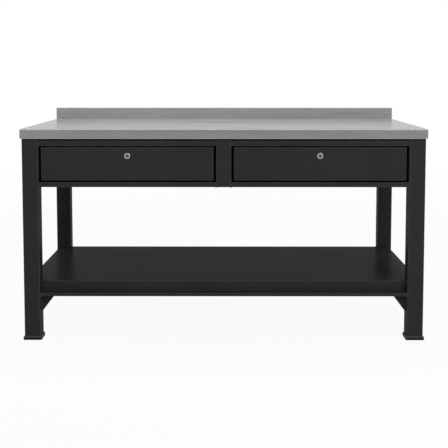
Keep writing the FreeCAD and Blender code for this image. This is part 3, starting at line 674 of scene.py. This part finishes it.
def screw_head(recipe):
    """A head of radius and height 1: a drum cut to a dome, with a cross recess in its top."""
    start = recipe.start
    drum = recipe.step("MeshCylinder", Vertices=HEAD_SIDES, Radius=1.0, Depth=1.0)
    raised = recipe.step("Transform", Geometry=drum, Translation=(0.0, 0.0, 0.5))
    ball = recipe.step("MeshUVSphere", Segments=HEAD_SIDES, Rings=HEAD_RINGS, Radius=1.0)
    # The ball is widened until it meets the drum's side at the height of the dome's edge
    square = recipe.maths("MULTIPLY", start["Head Dome"], start["Head Dome"])
    narrow = recipe.maths("POWER", recipe.maths("SUBTRACT", 1.0, square), 0.5)
    wide = recipe.maths("DIVIDE", 1.0, narrow)
    dome = recipe.step("Transform", Geometry=ball, Scale=recipe.vector(wide, wide, 1.0))
    shared = {"operation": "INTERSECT", "solver": "EXACT"}
    cut = {"operation": "DIFFERENCE", "solver": "EXACT"}
    head = recipe.step("MeshBoolean", shared, Mesh=[raised, dome])
    depth = recipe.maths("MULTIPLY", start["Recess Depth"], 2.0)
    for x, y in (("Recess Width", "Recess Length"), ("Recess Length", "Recess Width")):
        bar = recipe.step("MeshCube", Size=recipe.vector(start[x], start[y], depth))
        cutter = recipe.step("Transform", Geometry=bar, Translation=(0.0, 0.0, 1.0))
        head = recipe.step("MeshBoolean", cut, Mesh_1=head, Mesh_2=[cutter])
    return head


def screw_shank(recipe):
    """A shank of radius and length 1 down from the head, with a ridge at every other step."""
    spine = recipe.step("MeshLine", Count=SHANK_STEPS + 1, Offset=(0.0, 0.0, -1.0 / SHANK_STEPS))
    odd = recipe.maths("MODULO", recipe.step("InputIndex"), 2.0)
    return recipe.step(
        "CurveToMesh",
        Curve=recipe.step("MeshToCurve", Mesh=spine),
        Profile_Curve=recipe.step("CurvePrimitiveCircle", Resolution=SHANK_SIDES, Radius=1.0),
        Scale=recipe.maths("ADD", recipe.maths("MULTIPLY", odd, SHANK_RIDGE), 1.0 - SHANK_RIDGE),
        Fill_Caps=True,
    )


def screw_recipe(finishes):
    """Screws with a cross recess and a ridged shank, sized and aimed by the layout's points."""
    sizes = {
        "Head Dome": HEAD_DOME,
        "Recess Width": RECESS_WIDTH,
        "Recess Length": RECESS_LENGTH,
        "Recess Depth": RECESS_DEPTH,
    }
    recipe = Recipe("screws", sizes)
    turn = recipe.tree.nodes.new("FunctionNodeAlignRotationToVector")
    turn.axis = "Z"
    recipe.put(recipe.stored("aim"), turn.inputs["Vector"])
    parts = [
        recipe.step(
            "InstanceOnPoints",
            Points=recipe.start["Layout"],
            Instance=shape,
            Rotation=turn.outputs["Rotation"],
            Scale=recipe.stored(size),
        )
        for shape, size in ((screw_head(recipe), "head"), (screw_shank(recipe), "shank"))
    ]
    recipe.end(recipe.step("JoinGeometry", Geometry=parts), finishes["fastener_zinc"])
    return recipe


def screw_facts(points):
    """A screw's seat, the way its head points and the sizes of its head and shank, from its CAD solid."""
    low, high = corners(points)
    span = high - low
    axis = min(range(3), key=lambda i: abs(span[i - 1] - span[i - 2]))
    middle = (low + high) / 2

    def reach(point):
        across = point - middle
        across[axis] = 0.0
        return across.length

    wide = max(reach(point) for point in points)
    head = [point[axis] for point in points if reach(point) > HEAD_EDGE * wide]
    shank_radius = max(reach(point) for point in points if reach(point) < HEAD_EDGE * wide)
    outward = 1 if sum(head) / len(head) > middle[axis] else -1
    head_height = max(head) - min(head)
    aim = Vector((0.0, 0.0, 0.0))
    aim[axis] = outward
    seat = middle.copy()
    seat[axis] = min(head) if outward > 0 else max(head)
    shank_length = span[axis] - head_height
    return seat, aim, (wide, wide, head_height), (shank_radius, shank_radius, shank_length)


def make_screws(finishes):
    """Screws with cross heads, in place of the plain ones of the solids."""
    recipe = screw_recipe(finishes)
    bodies = {"frame_screws": "frame"}
    for side in SIDES:
        bodies[f"{side}_drawer_screws"] = f"{side}_drawer"
        bodies[f"{side}_lock_screw"] = f"{side}_lock"
    for node, body in bodies.items():
        seats, aims, heads, shanks = zip(*(screw_facts(points) for points in separate_solids(node)))
        layout = layout_mesh(f"{node}_seats", seats, aim=aims, head=heads, shank=shanks)
        piece = recipe.make(f"{node}_cross_head", layout, body, "fastener_zinc")
        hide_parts(node)


def ring_mesh(name, rings, material):
    """A closed skin over rings of points, each ring joined to the next and the last to the first."""
    count = len(rings[0])
    points = [point for ring in rings for point in ring]
    faces = []
    for i in range(len(rings)):
        after = (i + 1) % len(rings)
        for j in range(count):
            right = (j + 1) % count
            faces.append((i * count + j, i * count + right, after * count + right, after * count + j))
    mesh = bpy.data.meshes.new(name)
    mesh.from_pydata(points, [], faces)
    skin = bmesh.new()
    skin.from_mesh(mesh)
    bmesh.ops.recalc_face_normals(skin, faces=skin.faces)
    skin.to_mesh(mesh)
    skin.free()
    mesh.materials.append(material)
    piece = bpy.data.objects.new(name, mesh)
    bpy.context.scene.collection.objects.link(piece)
    return piece


def circle(middle, steps, radius_at, y):
    """Points round a lock's axis, with a radius for each angle."""
    points = []
    for i in range(steps):
        angle = 2 * math.pi * i / steps
        radius = radius_at(angle)
        points.append((middle.x + radius * math.cos(angle), y, middle.z + radius * math.sin(angle)))
    return points


def steady(radius):
    """The same radius at every angle."""
    return lambda angle: radius


def bezel_profile(side):
    """Radius and depth of the turned lock body, from the mouth of its bore round to its inner end."""
    low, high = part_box(f"{side}_lock_body")
    plug_low, plug_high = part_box(f"{side}_lock_plug")
    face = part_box(f"{side}_drawer_front")[0].y
    rim = (high.x - low.x) / 2
    bore = (plug_high.x - plug_low.x) / 2 + BORE_GAP
    crest = (bore + rim) / 2
    profile = [
        (bore, low.y + BEZEL_DISH),
        (bore + BEZEL_DISH, low.y + BEZEL_DISH / 3),
        (crest - BEZEL_LIP, low.y),
    ]
    for step in range(LIP_STEPS + 1):
        turn = math.pi / 2 * step / LIP_STEPS
        fall = BEZEL_FALL * (face - low.y) * (1 - math.cos(turn))
        profile.append((rim - (rim - crest) * (1 - math.sin(turn)), low.y + fall))
    profile += [(rim, face), (BARREL_RADIUS, face)]
    turns = int((high.y - face) / THREAD_PITCH)
    for step in range(turns):
        start = face + step * THREAD_PITCH
        profile.append((BARREL_RADIUS, start + THREAD_PITCH / 4))
        profile.append((BARREL_RADIUS - THREAD_DEPTH, start + THREAD_PITCH * 3 / 4))
    profile += [(BARREL_RADIUS - THREAD_DEPTH, high.y), (bore, high.y)]
    return profile


def make_lock_bodies(finishes):
    """Turned bezels with a rounded lip, on threaded barrels."""
    for side in SIDES:
        low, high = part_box(f"{side}_lock_body")
        middle = (low + high) / 2
        rings = [circle(middle, LOCK_STEPS, steady(radius), y) for radius, y in bezel_profile(side)]
        piece = ring_mesh(f"{side}_lock_bezel", rings, finishes["lock_chrome"])
        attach(piece, f"{side}_drawer")
        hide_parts(f"{side}_lock_body")


def hexagon(flat, first, most=math.inf):
    """A six-sided outline as a radius by angle, turned off at a largest radius."""
    sixth = math.pi / 3

    def radius_at(angle):
        past_flat = (angle - first - sixth / 2) % sixth
        return min(flat / math.cos(min(past_flat, sixth - past_flat)), most)

    return radius_at


def make_lock_nuts(finishes):
    """Six-sided nuts with their corners turned off at both faces."""
    for side in SIDES:
        low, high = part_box(f"{side}_lock_nut")
        tall = (high.z - low.z) / 2
        wide = (high.x - low.x) / 2
        flat = min(tall, wide)
        first = 0.0 if wide > tall else math.pi / 6
        bevel = abs(wide - tall) / 2
        bore = steady(BARREL_RADIUS + BORE_GAP)
        full = hexagon(flat, first)
        turned = hexagon(flat, first, flat * NUT_FACE)
        rows = [
            (bore, low.y),
            (turned, low.y),
            (full, low.y + bevel),
            (full, high.y - bevel),
            (turned, high.y),
            (bore, high.y),
        ]
        rings = [circle((low + high) / 2, NUT_STEPS, radius_at, y) for radius_at, y in rows]
        piece = ring_mesh(f"{side}_lock_hex_nut", rings, finishes["fastener_zinc"])
        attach(piece, f"{side}_drawer")
        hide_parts(f"{side}_lock_nut")


def seen_rays(tree):
    """1 for rays from the camera, from a reflection or through glass, and 0 for rays of plain light."""
    path = tree.nodes.new("ShaderNodeLightPath")
    total = path.outputs["Is Camera Ray"]
    for name in ("Is Glossy Ray", "Is Transmission Ray"):
        both = tree.nodes.new("ShaderNodeMath")
        both.operation = "MAXIMUM"
        tree.links.new(total, both.inputs[0])
        tree.links.new(path.outputs[name], both.inputs[1])
        total = both.outputs["Value"]
    return total


def make_world():
    """A white surround that lights the bench softly."""
    world = bpy.data.worlds.new("studio")
    bpy.context.scene.world = world
    world.use_nodes = True
    tree = world.node_tree
    tree.nodes.clear()
    mix = tree.nodes.new("ShaderNodeMixShader")
    tree.links.new(seen_rays(tree), mix.inputs["Fac"])
    for place, strength in ((1, FILL_LEVEL), (2, 1.0)):
        shade = tree.nodes.new("ShaderNodeBackground")
        shade.inputs["Color"].default_value = WHITE
        shade.inputs["Strength"].default_value = strength
        tree.links.new(shade.outputs["Background"], mix.inputs[place])
    output = tree.nodes.new("ShaderNodeOutputWorld")
    tree.links.new(mix.outputs["Shader"], output.inputs["Surface"])


def make_floor():
    """A white floor that keeps the bench's shadow and runs out into the white surround."""
    mesh = bpy.data.meshes.new("floor")
    floor = bpy.data.objects.new("floor", mesh)
    bpy.context.scene.collection.objects.link(floor)
    spots = [(-1, -1), (1, -1), (1, 1), (-1, 1)]
    mesh.from_pydata([(FLOOR_HALF * x, FLOOR_HALF * y, -FLOOR_DROP) for x, y in spots], [], [(0, 1, 2, 3)])
    finish = Finish("floor_paint")
    tree = finish.tree
    finish.surface(
        Base_Color=finish.blend(finish.spread(finish.noise(1.5), 0.0, 1.0), grey(0.84), grey(0.86)),
        Roughness=0.9,
        Specular_IOR_Level=0.0,
    )
    glow = finish.add("ShaderNodeEmission")
    finish.put(WHITE, glow.inputs["Color"])
    reach = finish.add("ShaderNodeVectorMath", operation="LENGTH")
    finish.put(finish.coordinates, reach.inputs[0])
    near_glow = finish.spread(reach.outputs["Value"], FLOOR_GLOW, 1.0, GLOW_NEAR, GLOW_FAR)
    mix = finish.add("ShaderNodeMixShader")
    finish.put(finish.maths("MULTIPLY", near_glow, seen_rays(tree)), mix.inputs["Fac"])
    finish.put(finish.shader.outputs["BSDF"], mix.inputs[1])
    finish.put(glow.outputs["Emission"], mix.inputs[2])
    finish.put(mix.outputs["Shader"], tree.nodes["Material Output"].inputs["Surface"])
    mesh.materials.append(finish.material)


def soft_box(name, spot, aim, size, watts):
    """A studio lamp of a width and a depth, turned towards a point."""
    lamp = bpy.data.lights.new(name, "AREA")
    lamp.shape = "RECTANGLE"
    lamp.size, lamp.size_y = size
    lamp.energy = watts
    holder = bpy.data.objects.new(name, lamp)
    holder.location = spot
    holder.rotation_euler = (Vector(aim) - Vector(spot)).to_track_quat("-Z", "Y").to_euler()
    bpy.context.scene.collection.objects.link(holder)


def make_lights():
    """A strip over the deck, a far lamp and a near one in front, and two low ones behind."""
    soft_box("overhead", spot=(0.0, 0.05, 2.0), aim=(0.0, 0.05, 0.0), size=(2.4, 0.6), watts=24.0)
    soft_box("front_left", spot=(-2.1, -6.6, 4.5), aim=(0.0, 0.0, 0.5), size=(3.6, 3.6), watts=50.0)
    soft_box("front_right", spot=(1.9, -4.4, 3.2), aim=(0.0, 0.0, 0.5), size=(2.6, 2.6), watts=84.0)
    for side, out in zip(SIDES, (-1, 1)):
        spot = (out * 3.2, 2.6, 1.3)
        soft_box(f"rear_{side}", spot=spot, aim=(0.0, 0.0, 0.4), size=(2.6, 2.6), watts=22.0)


def make_camera():
    """The camera at the picture's viewpoint."""
    lens = bpy.data.cameras.new("camera")
    lens.lens = LENS
    lens.sensor_width = SENSOR
    lens.shift_y = LENS_SHIFT
    holder = bpy.data.objects.new("camera", lens)
    level = math.cos(AIM_DOWN)
    ahead = Vector((-math.sin(AIM_LEFT) * level, math.cos(AIM_LEFT) * level, -math.sin(AIM_DOWN)))
    holder.location = EYE
    holder.rotation_euler = ahead.to_track_quat("-Z", "Y").to_euler()
    bpy.context.scene.collection.objects.link(holder)
    bpy.context.scene.camera = holder


finishes = make_finishes()
dress_nodes(finishes)
make_ball_rows(finishes)
make_welds(finishes)
make_drawer_hems(finishes)
make_screws(finishes)
make_lock_bodies(finishes)
make_lock_nuts(finishes)
make_world()
make_floor()
make_lights()
make_camera()
bpy.context.scene.view_settings.view_transform = "Standard"
